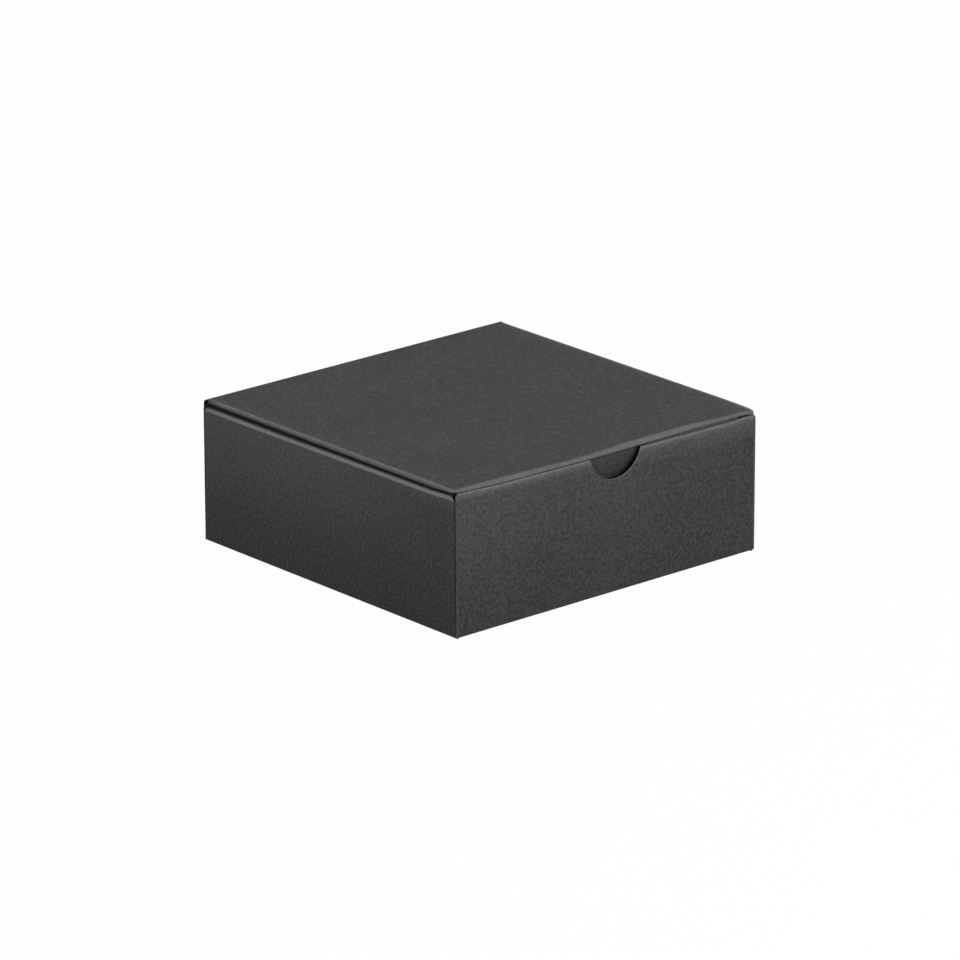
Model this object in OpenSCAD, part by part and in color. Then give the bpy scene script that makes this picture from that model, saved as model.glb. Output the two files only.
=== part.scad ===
// Hinged-lid gift box with a tuck front, folded from one die-cut blank of black fluted board.
// Each panel between two creases is a solid of its own, set up as the box stands when closed.
// X runs across the front, Y from the front to the back and Z up; the origin is at the middle
// of the underside.

/* [Box] */
// Width over the two side walls
box_w = 150; // [125:1:220]
// Depth from the front wall's face to the back wall's face
box_d = 147; // [125:1:220]
// Height of the closed box
box_h = 57; // [50:1:90]

/* [Board] */
// Thickness of the board
board = 1.5; // [1.2:0.1:1.8]
// Air left between two layers of board that lie together
layer_gap = 0.1; // [0.05:0.05:0.3]
// Rounding that the cutting rule leaves along a cut edge
cut_edge_r = 0.45; // [0.2:0.05:0.55]

/* [Front and back walls] */
// Gap between the lid's underside and the front wall's top edge
front_gap = 0.65; // [0.55:0.05:2]
// Radius of the thumb notch
notch_r = 12.75; // [9:0.25:18]
// Depth of the thumb notch below the front wall's top edge
notch_depth = 10.4; // [6:0.2:16]
// How far the thumb notch lies to the right of the wall's middle
notch_shift = 3; // [-10:0.5:10]
// Thickness of the fold where it covers the side wall's cut edge
corner_lip = 0.8; // [0.5:0.05:1]
// Rounding of the upright corners
corner_r = 0.7; // [0.3:0.05:0.75]
// Seam between that fold and the side wall
seam = 0.25; // [0.1:0.05:0.4]

/* [Side walls] */
// Gap between the lid's underside and the rolled-over top of a side wall
side_gap = 1.6; // [1.2:0.1:4]
// How far the rolled-over top stops short of the side wall's ends
strip_setback = 2.2; // [0.5:0.1:6]
// Clearance between an inner side wall's end and the wall it faces
inner_clear = 0.5; // [0.3:0.1:2]
// How much each end of an inner side wall narrows towards the floor
inner_taper = 2; // [0:0.5:6]

/* [Floor locks] */
// Width of a lock tab
lock_w = 22; // [12:1:30]
// Distance from the middle of the box to the middle of a lock tab
lock_pos = 38; // [20:1:44]
// Clearance round a lock tab in its slot
lock_clear = 0.2; // [0.1:0.05:0.5]
// Rounding of a lock tab's corners
lock_r = 1; // [0.2:0.1:1]
// How far a lock tab stops short of the underside
lock_short = 0.2; // [0.1:0.05:0.5]

/* [Corner tabs] */
// Length of a corner tab, from the wall that carries it
tab_len = 56; // [30:1:58]
// Narrowing of a corner tab along its upper and lower edges
tab_taper = 3; // [0:0.5:8]
// Cut-off corners at a corner tab's free end
tab_chamfer = 7; // [2:0.5:12]
// Clearance above and below a corner tab
tab_clear = 0.8; // [0.3:0.1:2]

/* [Lid] */
// How far the lid's side edges stand in from the side walls' faces
lid_inset = 0.7; // [0.2:0.1:1.5]
// How far the lid's front fold stands in from the front wall's face
nose_inset = 0.4; // [0:0.1:1]
// Rounding of the lid's front corners
lid_corner_r = 1; // [0.3:0.1:2]
// Radius of the crushed board round the hinge crease
hinge_bead_r = 2; // [1.9:0.05:2.6]
// Running clearance round the hinge crease
hinge_clear = 0.3; // [0.2:0.05:0.4]
// Radius of the ridge that a crease raises on the inside
ridge_r = 0.9; // [0.4:0.1:1]

/* [Tuck flap] */
// Length of the tuck flap below the lid
flap_len = 28.5; // [18:0.5:36]
// Gap between the front wall and the top of the tuck flap
flap_gap = 0.3; // [0.25:0.05:1]
// Clearance between the tuck flap and an inner side wall
flap_side_clear = 2.3; // [1.5:0.1:6]
// Narrowing of the tuck flap at each side
flap_taper = 4; // [0:0.5:10]
// Rounding of the tuck flap's free corners
flap_corner_r = 12; // [4:0.5:16]
// Radius of the crushed board round the tuck crease
tuck_bead_r = 1.5; // [1.1:0.1:1.8]
// Running clearance round the tuck crease
tuck_clear = 0.3; // [0.2:0.05:0.4]
// Length over which the lid's front edge curves down to its fold
nose_reach = 3.2; // [2:0.1:4.5]
// Height over which the lid's front edge curves down to its fold
nose_drop = 1.2; // [0.8:0.1:1.2]
// How far the fold hangs below the lid's underside
nose_hang = 0.25; // [0:0.05:0.25]
// Rounding under the fold
nose_under_r = 0.5; // [0.2:0.05:0.55]
// Flat board carried on behind the tuck crease
nose_back = 1.6; // [1:0.1:4]

/* [Hidden] */
$fn = 96;

outside_black = [0.25, 0.25, 0.245];
edge_black = [0.2, 0.2, 0.195];
inside_black = [0.22, 0.22, 0.215];

// Small overrun of a cutting shape past the faces it cuts
over = 1;
// Points on the quarter curve of a fold and on the arc of a flap's corner
fold_points = 10;
corner_points = 12;

half_w = box_w / 2;
half_d = box_d / 2;
inner_half_d = half_d - board;
lid_under = box_h - board;
front_top = lid_under - front_gap;
side_top = lid_under - side_gap;
strip_under = side_top - board;

// A double side wall, from its face inwards: outer wall, corner tab, inner wall
layer_pitch = board + layer_gap;
strip_w = 3 * board + 2 * layer_gap;
slab_half_w = half_w - layer_pitch;
inner_wall_x = half_w - 2 * layer_pitch - board;
side_half_d = half_d - corner_lip - seam;
inner_wall_half_d = inner_half_d - inner_clear;

// Hinge crease: its axis runs along the inner corner of the back wall and the lid
hinge_y = inner_half_d;
hinge_z = lid_under;
back_top = hinge_z - hinge_bead_r;

// Tuck crease: its axis runs along the inner corner of the lid and the tuck flap
tuck_y = -inner_half_d + flap_gap + board;
tuck_z = lid_under;
nose_y = -half_d + nose_inset;
nose_back_y = tuck_y + nose_back;
lid_half_w = half_w - lid_inset;
flap_half_w = inner_wall_x - flap_side_clear;
nose_half_w = flap_half_w + hinge_clear;

// The flap leans inwards far enough for its tip to swing past the front wall's top
flap_radius = hinge_y - tuck_y + board;
flap_lean = asin(flap_len / (2 * flap_radius));

// Points on an arc about c
function arc(c, r, from, to, n) = [
    for (i = [0:n]) let (a = from + (to - from) * i / n) c + r * [cos(a), sin(a)]
];

// Lays a profile drawn in Y and Z out along X
module along_x(length) {
    rotate([90, 0, 90]) linear_extrude(length, center = true) children();
}

// Lays a profile drawn in X and Z out along Y
module along_y(length) {
    rotate([90, 0, 0]) linear_extrude(length, center = true) children();
}

// What a rounding of radius r takes away at a lower left corner
module corner_cut(r) {
    difference() {
        translate([-over, -over]) square(r + over);
        translate([r, r]) circle(r);
    }
}

// Rectangle w by h with a radius for each corner, anticlockwise from the lower left
module soft_rectangle(w, h, radii) {
    corners = [[0, 0], [w, 0], [w, h], [0, h]];
    difference() {
        square([w, h]);
        for (i = [0:3]) if (radii[i] > 0)
            translate(corners[i]) rotate(90 * i) corner_cut(radii[i]);
    }
}

// The board's round outer side at a fold, in the quarter above and beyond the crease
module outer_fold(r) {
    intersection() {
        circle(r);
        square(r);
    }
}

// A front or back wall from above: a slab between the side walls, and the thinner fold
// that runs on at both ends to cover the side walls' cut edges
module end_wall_plan() {
    translate([-slab_half_w, -half_d]) square([2 * slab_half_w, board]);
    translate([-half_w, -half_d])
        soft_rectangle(box_w, corner_lip, [corner_r, corner_r, 0, 0]);
}

// A front or back wall, drawn as the front wall, up to height top
module end_wall(top, top_edge_r) {
    intersection() {
        linear_extrude(top) end_wall_plan();
        along_x(box_w)
            translate([-half_d, 0]) soft_rectangle(board, top, [board, 0, 0, top_edge_r]);
    }
}

// A through slot in the floor for one lock tab
module lock_slot() {
    slot_w = board + 2 * lock_clear;
    slot_l = lock_w + 2 * lock_clear;
    translate([inner_wall_x + board / 2 - slot_w / 2, lock_pos - slot_l / 2, -over])
        cube([slot_w, slot_l, board + 2 * over]);
}

// The floor, with two lock slots along each side
module base_panel() {
    color(inside_black) difference() {
        translate([-half_w + board, -inner_half_d, 0])
            cube([box_w - 2 * board, 2 * inner_half_d, board]);
        for (sx = [0, 1], sy = [0, 1])
            mirror([sx, 0, 0]) mirror([0, sy, 0]) lock_slot();
    }
}

// Front wall with the half-moon thumb notch in its top edge
module front_wall() {
    color(outside_black) difference() {
        end_wall(front_top, cut_edge_r);
        translate([notch_shift, -half_d, front_top - notch_depth + notch_r])
            along_y(4 * board) {
                circle(notch_r);
                translate([-notch_r, 0]) square([2 * notch_r, 2 * notch_r]);
            }
    }
}

// Back wall, up to the hinge crease
module back_wall() {
    color(outside_black) mirror([0, 1, 0]) end_wall(back_top, 0);
}

// Outer layer of the right side wall, folded up from the floor
module outer_wall() {
    translate([half_w - board, 0, 0]) along_y(2 * side_half_d)
        soft_rectangle(board, strip_under, [0, board, 0, 0]);
}

// Top of the right side wall, between its two roll-over creases
module top_strip() {
    translate([half_w - strip_w, 0, strip_under])
        along_y(2 * (side_half_d - strip_setback))
            soft_rectangle(strip_w, board, [0, 0, board, board]);
}

// Inner layer of the right side wall from the side, with its two lock tabs
module inner_wall_outline() {
    polygon([
        [-inner_wall_half_d + inner_taper, board],
        [inner_wall_half_d - inner_taper, board],
        [inner_wall_half_d, strip_under],
        [-inner_wall_half_d, strip_under]
    ]);
    for (side = [-1, 1])
        translate([side * lock_pos - lock_w / 2, lock_short])
            soft_rectangle(lock_w, 2 * board, [lock_r, lock_r, 0, 0]);
}

// Inner layer of the right side wall, rolled over and down to the floor
module inner_wall() {
    translate([inner_wall_x + board / 2, 0, 0]) along_x(board) inner_wall_outline();
}

// Tab at the right end of the back wall, trapped between the two layers of the side wall
module corner_tab() {
    low = board + tab_clear;
    high = strip_under - tab_clear;
    translate([half_w - layer_pitch - board / 2, 0, 0]) along_x(board) polygon([
        [inner_half_d, low],
        [inner_half_d, high],
        [inner_half_d - tab_len + tab_chamfer, high - tab_taper],
        [inner_half_d - tab_len, high - tab_taper - tab_chamfer],
        [inner_half_d - tab_len, low + tab_taper + tab_chamfer],
        [inner_half_d - tab_len + tab_chamfer, low + tab_taper]
    ]);
}

module left_outer_wall() {
    color(outside_black) mirror([1, 0, 0]) outer_wall();
}

module right_outer_wall() {
    color(outside_black) outer_wall();
}

module left_top_strip() {
    color(outside_black) mirror([1, 0, 0]) top_strip();
}

module right_top_strip() {
    color(outside_black) top_strip();
}

module left_inner_wall() {
    color(inside_black) mirror([1, 0, 0]) inner_wall();
}

module right_inner_wall() {
    color(inside_black) inner_wall();
}

module front_left_tab() {
    color(edge_black) mirror([1, 0, 0]) mirror([0, 1, 0]) corner_tab();
}

module front_right_tab() {
    color(edge_black) mirror([0, 1, 0]) corner_tab();
}

module back_left_tab() {
    color(edge_black) mirror([1, 0, 0]) corner_tab();
}

module back_right_tab() {
    color(edge_black) corner_tab();
}

// Hinge crease: the fold at the top of the back wall, crushed round the lid's turning axis
module lid_crease() {
    color(outside_black) translate([0, hinge_y, hinge_z]) along_x(2 * lid_half_w) {
        outer_fold(board);
        translate([0, -hinge_bead_r]) square([board, hinge_bead_r]);
        intersection() {
            circle(hinge_bead_r);
            translate([-hinge_bead_r, 0]) square([hinge_bead_r, board]);
        }
        circle(ridge_r);
    }
}

// The lid from above, with room at its front edge for the tuck crease
module lid_outline() {
    recess_half_w = nose_half_w + tuck_clear;
    difference() {
        translate([-lid_half_w, nose_y]) soft_rectangle(
            2 * lid_half_w, hinge_y - nose_y, [lid_corner_r, lid_corner_r, 0, 0]
        );
        translate([-recess_half_w, nose_y - over])
            square([2 * recess_half_w, nose_back_y - nose_y + over]);
    }
}

// Lid panel: its side edges are rounded above, and its rear end turns round the hinge crease
module lid_panel() {
    color(outside_black) difference() {
        intersection() {
            translate([0, 0, lid_under]) linear_extrude(board) lid_outline();
            translate([-lid_half_w, 0, lid_under]) along_y(box_d)
                soft_rectangle(2 * lid_half_w, board, [0, 0, cut_edge_r, cut_edge_r]);
        }
        translate([0, hinge_y, hinge_z]) along_x(box_w) circle(hinge_bead_r + hinge_clear);
    }
}

// The fold at the lid's front edge, from the crease: the board curves down to a blunt nose
// over the front wall's top edge and turns back under itself
module nose_profile() {
    tip = nose_y - tuck_y;
    polygon(concat(
        [[nose_back, 0], [nose_back, board]],
        [
            for (i = [0:fold_points]) let (a = 90 * i / fold_points)
                [tip + nose_reach * (1 - sin(a)), board - nose_drop * (1 - cos(a))]
        ],
        arc([tip + nose_under_r, nose_under_r - nose_hang], nose_under_r, 180, 270, fold_points),
        [[-board, -nose_hang], [-board, 0]]
    ));
}

// Tuck crease: the fold between the lid and its tuck flap
module tuck_crease() {
    color(outside_black) translate([0, tuck_y, tuck_z]) along_x(2 * nose_half_w) {
        nose_profile();
        intersection() {
            circle(tuck_bead_r);
            translate([-board, -board]) square([board, board]);
        }
        circle(ridge_r);
    }
}

// The tuck flap laid flat, hanging from its crease at the top
module flap_outline() {
    side_angle = atan(flap_taper / flap_len);
    corner_z = flap_corner_r - flap_len;
    side_x = flap_half_w + flap_taper * corner_z / flap_len;
    corner_x = side_x - flap_corner_r / cos(side_angle);
    polygon(concat(
        [[-flap_half_w, 0]],
        arc([-corner_x, corner_z], flap_corner_r, 180 + side_angle, 270, corner_points),
        arc([corner_x, corner_z], flap_corner_r, -90, -side_angle, corner_points),
        [[flap_half_w, 0]]
    ));
}

// Tuck flap: hangs behind the front wall and turns about the tuck crease
module tuck_flap() {
    color(outside_black) translate([0, tuck_y, tuck_z]) difference() {
        rotate([flap_lean, 0, 0]) translate([0, -board / 2, 0]) along_y(board) flap_outline();
        along_x(box_w) circle(tuck_bead_r + tuck_clear);
    }
}

base_panel();
front_wall();
back_wall();
left_outer_wall();
right_outer_wall();
left_top_strip();
right_top_strip();
left_inner_wall();
right_inner_wall();
front_left_tab();
front_right_tab();
back_left_tab();
back_right_tab();
lid_crease();
lid_panel();
tuck_crease();
tuck_flap();
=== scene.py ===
# %% [markdown]
# # A hinged-lid gift box in black fluted board
# The real box is one die-cut sheet, folded up with no glue. This lesson dresses its packed
# solids: each panel is made again as board, with eased edges, rolled folds and black kraft
# paper, and is hung on the body that carries it. All places are in metres in the solids'
# own frame; the sheet's sizes are easier to read in millimetres, so pieces are drawn in
# millimetres and scaled once, when their mesh is written.

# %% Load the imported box
import math

import bmesh
import bpy
from mathutils import Matrix, Vector


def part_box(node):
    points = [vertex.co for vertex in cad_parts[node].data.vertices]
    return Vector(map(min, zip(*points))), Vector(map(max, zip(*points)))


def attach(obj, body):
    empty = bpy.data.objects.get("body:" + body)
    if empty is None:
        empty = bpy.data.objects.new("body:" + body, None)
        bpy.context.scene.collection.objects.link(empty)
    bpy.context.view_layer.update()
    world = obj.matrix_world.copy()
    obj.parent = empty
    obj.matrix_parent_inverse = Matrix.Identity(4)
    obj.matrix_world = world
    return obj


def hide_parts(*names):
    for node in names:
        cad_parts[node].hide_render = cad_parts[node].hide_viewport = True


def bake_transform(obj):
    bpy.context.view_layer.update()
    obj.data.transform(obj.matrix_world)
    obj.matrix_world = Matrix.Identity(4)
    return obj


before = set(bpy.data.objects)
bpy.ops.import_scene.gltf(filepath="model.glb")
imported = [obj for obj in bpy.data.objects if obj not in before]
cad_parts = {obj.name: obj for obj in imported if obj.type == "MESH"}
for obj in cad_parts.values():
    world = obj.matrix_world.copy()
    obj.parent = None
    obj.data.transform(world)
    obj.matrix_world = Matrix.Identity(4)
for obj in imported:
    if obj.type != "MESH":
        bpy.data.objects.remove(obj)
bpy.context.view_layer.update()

MM = 0.001


def size_of(node):
    """Lowest and highest corner of a solid, in millimetres."""
    low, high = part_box(node)
    return low / MM, high / MM


def direction(azimuth, elevation):
    """From the box towards a place, with angles in degrees; azimuth 0 is the front."""
    a, e = math.radians(azimuth), math.radians(elevation)
    return Vector((math.sin(a) * math.cos(e), -math.cos(a) * math.cos(e), math.sin(e)))


def add_object(name, data):
    thing = bpy.data.objects.new(name, data)
    bpy.context.scene.collection.objects.link(thing)
    return thing


lid_low, lid_high = size_of("lid_panel")
fold_low, fold_high = size_of("tuck_crease")
front_low, front_high = size_of("front_wall")
back_low, back_high = size_of("back_wall")
outer_low, outer_high = size_of("right_outer_wall")
strip_low = size_of("right_top_strip")[0]
inner_high = size_of("right_inner_wall")[1]
flap_high = size_of("tuck_flap")[1]
BOARD = lid_high.z - lid_low.z
print("lid", [round(v, 2) for v in (*lid_low, *lid_high)], "board", round(BOARD, 2))

# %% [markdown]
# ## Camera
# The photograph was taken with a long lens from the left of the front and a little above.
# The pose was solved from the box's own corners. A camera's matrix holds its right, up and
# backward directions as columns, so those three are worked out and stacked, which keeps the
# small roll.

# %% Camera
PICTURE_PIXELS = 960
FOCAL_PIXELS = 7000
SENSOR_MM = 36
AZIMUTH, ELEVATION, ROLL = -40.94, 18.89, math.radians(-0.117)
DISTANCE_MM = 2663.1
AIM_RIGHT_MM, AIM_UP_MM = 0.36, -1.96
NEAREST_M, FARTHEST_M = 0.1, 20


def add_camera():
    backward = direction(AZIMUTH, ELEVATION)
    level_right = Vector((0, 0, 1)).cross(backward).normalized()
    level_up = backward.cross(level_right)
    right = level_right * math.cos(ROLL) + level_up * math.sin(ROLL)
    up = level_up * math.cos(ROLL) - level_right * math.sin(ROLL)
    aim = Vector((0, 0, lid_high.z / 2)) + right * AIM_RIGHT_MM + up * AIM_UP_MM
    place = (aim + backward * DISTANCE_MM) * MM
    data = bpy.data.cameras.new("camera")
    data.sensor_width = SENSOR_MM
    data.lens = FOCAL_PIXELS * SENSOR_MM / PICTURE_PIXELS
    data.clip_start, data.clip_end = NEAREST_M, FARTHEST_M
    camera = add_object("camera", data)
    turn = Matrix((right, up, backward)).transposed().to_4x4()
    camera.matrix_world = Matrix.Translation(place) @ turn
    bpy.context.scene.camera = camera
    return camera


camera = add_camera()
print("camera at", [round(v, 3) for v in camera.location], "lens", camera.data.lens)

# %% [markdown]
# ## Shader maths
# Sums are hard to follow when each Math node is wired by hand. `Wire` stands for one output
# socket and overloads the operators, so that `1 - mask` adds a Subtract node. Every other
# node comes from `Recipe.add`, which sets the node's own settings first.

# %% A small class for node sockets
def operator(kind, flipped=False):
    """A method that adds a Math node of this kind for two values, or swapped if flipped."""
    def method(self, other):
        values = (other, self) if flipped else (self, other)
        return self.recipe.math(kind, *values)
    return method


class Wire:
    """One output socket that can be added, multiplied and so on."""

    __add__ = __radd__ = operator("ADD")
    __sub__, __rsub__ = operator("SUBTRACT"), operator("SUBTRACT", flipped=True)
    __mul__, __truediv__ = operator("MULTIPLY"), operator("DIVIDE")

    def __init__(self, recipe, socket):
        self.recipe, self.socket = recipe, socket

    def out(self, name):
        return Wire(self.recipe, self.socket.node.outputs[name])

    def __abs__(self):
        return self.recipe.math("ABSOLUTE", self)


class Recipe:
    """The node tree of one material or of the world."""

    def __init__(self, tree):
        self.tree = tree
        tree.nodes.clear()

    def add(self, kind, settings=None, sockets=None, output=0):
        node = self.tree.nodes.new(kind)
        for key, value in (settings or {}).items():
            setattr(node, key, value)
        for key, value in (sockets or {}).items():
            if isinstance(value, Wire):
                self.tree.links.new(value.socket, node.inputs[key])
            else:
                node.inputs[key].default_value = value
        return Wire(self, node.outputs[output]) if node.outputs else None

    def math(self, operation, *values):
        return self.add("ShaderNodeMath", {"operation": operation}, dict(enumerate(values)))

    def larger(self, *values):
        result = values[0]
        for value in values[1:]:
            result = self.math("MAXIMUM", result, value)
        return result

    def fade(self, value, low, high):
        """0 below low, 1 above high, and smooth between; low may be above high."""
        sockets = {"Value": value, "From Min": low, "From Max": high}
        return self.add("ShaderNodeMapRange", {"interpolation_type": "SMOOTHSTEP"}, sockets)

    def mix(self, factor, first, second):
        settings = {"data_type": "RGBA", "clamp_factor": True}
        return self.add("ShaderNodeMix", settings, {0: factor, 6: first, 7: second}, 2)

    def place_mm(self):
        """Object coordinates in millimetres, as a vector."""
        place = self.add("ShaderNodeTexCoord", output="Object")
        return self.add(
            "ShaderNodeVectorMath", {"operation": "SCALE"}, {0: place, "Scale": 1 / MM}
        )

    def noise(self, vector, per_mm, detail=2.0, roughness=0.5, stretch=None):
        if stretch:
            sockets = {0: vector, 1: stretch}
            vector = self.add("ShaderNodeVectorMath", {"operation": "MULTIPLY"}, sockets)
        sockets = {"Vector": vector, "Scale": per_mm, "Detail": detail, "Roughness": roughness}
        return self.add("ShaderNodeTexNoise", sockets=sockets)


# %% [markdown]
# ## Black kraft paper
# The board's liner is uncoated black kraft: short fibres and a fine mottle from the dye,
# nearly matt, and a little warm. Where a crease bends it or hands rub it, the dye thins and
# the paper turns paler and smoother. The same pale paper also paints highlights along folds,
# rims and edges, and painted light that makes panels paler where more light falls. Two
# noises, about a millimetre and a third of one across, make the mottle, a soft one of some
# 20 mm keeps a panel from looking even, and two that are stretched along the panel make the
# fibres. All of it follows coordinates, not painted images, which keeps the paper's scale
# the same on every panel.

# %% Black kraft paper
PAPER = (0.036, 0.036, 0.036, 1)
PAPER_DARK = (0.020, 0.020, 0.020, 1)
# Pale paper for rubbed places, and also for painted highlights and painted light
PAPER_PALE_WEAR_AND_LIGHT = (0.210, 0.208, 0.204, 1)
PAPER_SPECULAR = 0.22
FINE_PER_MM, COARSE_PER_MM, CLOUD_PER_MM = 2.6, 0.8, 0.045
FINE_SHARE, COARSE_SHARE, CLOUD_SHARE = 1.6, 2.4, 0.35
TONE_SPAN = (-0.15, 1.15)
FIBRES_ALONG_X, FIBRES_ALONG_Y = (0.35, 5, 5), (5, 0.35, 2.2)
FIBRES_SHOW, FIBRE_RUB = (0.58, 0.74), 0.045
EVEN_PALE, PATCHY_PALE = 0.65, 0.7
MATT, SMOOTHER_WHERE_PALE, UNEVEN_MATT = 0.86, 0.22, 0.12
FINE_HEIGHT, COARSE_HEIGHT, FIBRE_HEIGHT = 0.5, 0.35, 0.3
BUMP_STRENGTH, BUMP_DEPTH_M = 0.35, 0.00006


def new_recipe(name):
    material = bpy.data.materials.new(name)
    material.use_nodes = True
    return material, Recipe(material.node_tree)


def board_material(material, recipe, looks):
    surface = recipe.add("ShaderNodeBsdfPrincipled", sockets=looks)
    recipe.add("ShaderNodeOutputMaterial", sockets={"Surface": surface})
    return material


def band(axis, rise, fall=None, strength=1.0):
    """Paler paper along an axis, for rubbed places, painted highlights and painted light: it
    grows over the places in `rise` and ends over those in `fall`. An axis such as "|x|" stands
    for the distance from the middle."""
    return axis, rise, fall, strength


def kraft(name, bands=(), mottle=1.0, wear_and_light=None, tint=(1, 1, 1)):
    """Black kraft liner. A function may be given that adds rubbed places and painted light of its
    own; `tint` colours the dye.
    """
    material, recipe = new_recipe(name)
    place = recipe.place_mm()
    parts = recipe.add("ShaderNodeSeparateXYZ", sockets={0: place})
    fine = recipe.noise(place, FINE_PER_MM, detail=2.5, roughness=0.6)
    coarse = recipe.noise(place, COARSE_PER_MM, detail=2)
    cloud = recipe.noise(place, CLOUD_PER_MM, detail=1)
    grain_x = recipe.noise(place, 1, detail=1, stretch=FIBRES_ALONG_X)
    grain_y = recipe.noise(place, 1, detail=1, stretch=FIBRES_ALONG_Y)
    fibres = recipe.fade(recipe.larger(grain_x, grain_y), *FIBRES_SHOW)
    speckle = (fine - 0.5) * FINE_SHARE + (coarse - 0.5) * COARSE_SHARE
    tone = recipe.fade(speckle * mottle + (cloud - 0.5) * CLOUD_SHARE + 0.5, *TONE_SPAN)
    darkest = [d * t for d, t in zip(PAPER_DARK, (*tint, 1))]
    palest = [(2 * a - b) * t for a, b, t in zip(PAPER, PAPER_DARK, (*tint, 1))]
    paper = recipe.mix(tone, darkest, palest)
    worn_and_lit = fibres * (FIBRE_RUB * mottle)
    for axis, rise, fall, strength in bands:
        distance = parts.out(axis.strip("|").upper())
        distance = abs(distance) if "|" in axis else distance
        mask = recipe.fade(distance, *rise)
        if fall:
            mask = mask * recipe.fade(distance, *fall)
        worn_and_lit = recipe.larger(worn_and_lit, mask * strength)
    if wear_and_light:
        worn_and_lit = recipe.larger(worn_and_lit, wear_and_light(recipe, parts))
    # The pale paper covers rubbed places, painted highlights and painted light
    worn_and_lit = worn_and_lit * (EVEN_PALE + coarse * PATCHY_PALE)
    colour = recipe.mix(worn_and_lit, paper, PAPER_PALE_WEAR_AND_LIGHT)
    roughness = MATT - worn_and_lit * SMOOTHER_WHERE_PALE + (fine - 0.5) * UNEVEN_MATT
    height = fine * FINE_HEIGHT + coarse * COARSE_HEIGHT + fibres * FIBRE_HEIGHT
    bump = recipe.add("ShaderNodeBump", sockets={
        "Strength": BUMP_STRENGTH, "Distance": BUMP_DEPTH_M, "Height": height,
    })
    return board_material(material, recipe, {
        "Base Color": colour, "Roughness": roughness, "Normal": bump,
        "Specular IOR Level": PAPER_SPECULAR,
    })


print("black kraft: noises per mm", FINE_PER_MM, COARSE_PER_MM, CLOUD_PER_MM)

# %% [markdown]
# ## Cut edges of the board
# A knife leaves the board's section open: two liners, and between them the wavy medium with
# hollow flutes that look black. The flutes are 3.3 mm apart and run from the front to the
# back of the sheet, so an edge across them shows the wave and an edge along them shows one
# long hollow. The wave is drawn as a cosine of the coordinate across the flutes, and the
# distance from it, through the board, decides between paper and hollow.

# %% Cut edges
FLUTE_PITCH = 3.3
HOLLOW = (0.0022, 0.0022, 0.0022, 1)
RAW_PAPER = (0.045, 0.0445, 0.044)
# Shares of the board's thickness: the wave's swing, and where its paper and a liner end
WAVE_SWING = 0.34
MEDIUM_ENDS, LINER_ENDS = (0.13, 0.05), (0.17, 0.09)
RAW_GRAIN_PER_MM = 3.0
EDGE_ROUGHNESS, EDGE_SPECULAR = 0.95, 0.05
EVEN_RAW, GRAIN_IN_RAW = 0.75, 0.5


def cut_edge(name, across, crest, through, face, back, openness=1.0, medium_tone=0.6, tone=1.0):
    """The board's section. `across` is the axis square to the flutes, with a crest of the
    medium at `crest`; `through` is the axis through the board, from its back to its face."""
    raw = [c * tone for c in RAW_PAPER] + [1]
    material, recipe = new_recipe(name)
    place = recipe.place_mm()
    parts = recipe.add("ShaderNodeSeparateXYZ", sockets={0: place})
    grain = recipe.noise(place, RAW_GRAIN_PER_MM, detail=2)
    depth = (parts.out(through) - back) / (face - back)
    wave = recipe.math("COSINE", (parts.out(across) - crest) * (2 * math.pi / FLUTE_PITCH))
    from_wave = abs(depth - 0.5 - wave * WAVE_SWING)
    from_liner = 0.5 - abs(depth - 0.5)
    medium = recipe.fade(from_wave, *MEDIUM_ENDS) * medium_tone
    liner = recipe.fade(from_liner, *LINER_ENDS)
    paper = recipe.larger(medium, liner, 1 - openness)
    colour = recipe.mix(paper * (EVEN_RAW + grain * GRAIN_IN_RAW), HOLLOW, raw)
    return board_material(material, recipe, {
        "Base Color": colour, "Roughness": EDGE_ROUGHNESS,
        "Specular IOR Level": EDGE_SPECULAR,
    })


print("flutes are", FLUTE_PITCH, "mm apart")

# %% [markdown]
# ## Board cut to an outline
# A panel could be an extruded outline with a Bevel modifier, but the real edges differ: a
# cut edge is crushed by the rule, a fold is round over the board's whole thickness, and the
# corner folds are thin. So each edge of the outline brings its own profile, a list of steps
# (how far in from the outline, how deep from the face). The outline is repeated once for
# each step, moved in along its own normals, and the loops are joined into a skin.

# %% Edges of a panel
LIP_THICKNESS, LIP_REACH, LIP_ROUND = 0.36, 1.6, 0.32
LIP_STEP = 0.06
FACE_STEPS, BACK_STEPS, BACK_EASE = 7, 5, 0.4


def quarter_turn(steps):
    return [math.pi / 2 * i / steps for i in range(steps + 1)]


# Depths at which a wall's edges are given, the same for all, so that corners mitre
WALL_DEPTHS = [LIP_THICKNESS * (1 - math.cos(t)) for t in quarter_turn(FACE_STEPS)]
WALL_DEPTHS += [LIP_THICKNESS + LIP_STEP]
WALL_DEPTHS += [BOARD - BACK_EASE * (1 - math.sin(t)) for t in quarter_turn(BACK_STEPS)]


class Edge:
    """One edge of a panel: steps (inset, depth) from its face to its back, and the depth
    below which a knife left the board's section open."""

    def __init__(self, steps, open_from=None):
        self.steps, self.open_from = steps, open_from


def rounding(depth, inset, over):
    """The inset at this depth of an edge that starts `inset` in and is full `over` down."""
    if depth >= over:
        return 0
    return inset * (1 - math.sqrt(1 - (1 - depth / over) ** 2))


def knife_edge(inset=0.3, over=0.25, back=0.2):
    """A cut edge, eased at the face and a little at the back."""
    insets = [rounding(d, inset, over) + rounding(BOARD - d, back, back) for d in WALL_DEPTHS]
    return Edge(list(zip(insets, WALL_DEPTHS)), open_from=over)


def floor_fold():
    """A fold towards the floor: round over the board's whole thickness."""
    return Edge([(rounding(d, BOARD, BOARD), d) for d in WALL_DEPTHS])


def butt(depths):
    """An edge that goes on in another piece: square and left alone."""
    return Edge([(0, d) for d in depths])


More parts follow.
